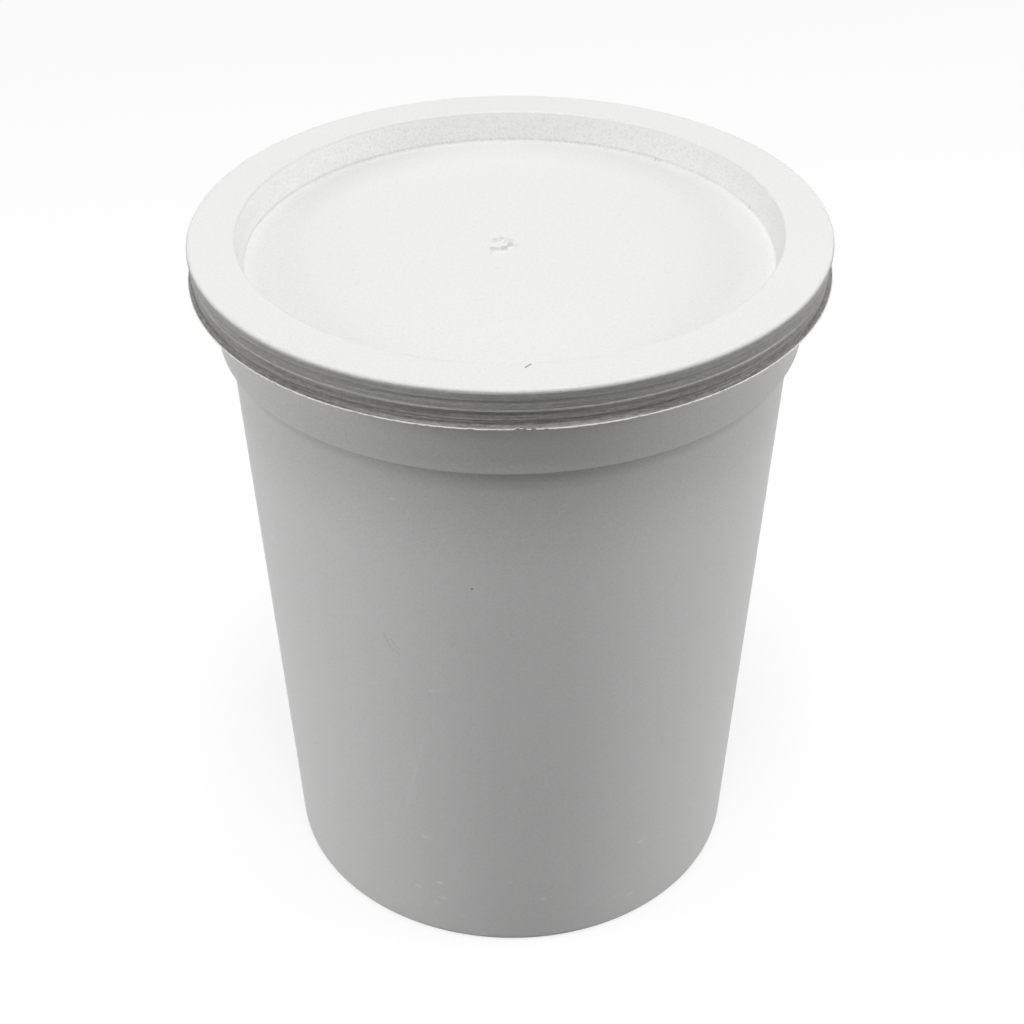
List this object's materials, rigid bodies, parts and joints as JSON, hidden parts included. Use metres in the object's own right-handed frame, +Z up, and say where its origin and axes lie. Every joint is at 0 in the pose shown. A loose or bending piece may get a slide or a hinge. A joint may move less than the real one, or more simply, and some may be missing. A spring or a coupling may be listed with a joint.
{
  "type": "plastic tub",
  "caption": "Tapered round food tub with a stacking collar, shut by a press-on lid whose recessed panel takes the foot of another tub.",
  "frame": {"origin": "centre of the base, at table level", "axes": "+Z up along the axis of the tub, -Y towards the side with the gap-toothed lip flash that faces the viewer, +X to that viewer's right"},
  "size_m": [0.1186, 0.1186, 0.14],
  "materials": {
    "tub": "satin white moulded polypropylene",
    "lid": "satin white moulded polyethylene, finely grained"
  },
  "bodies": {
    "root": {"tub": "tub", "lid": "lid"}
  },
  "joints": []
}
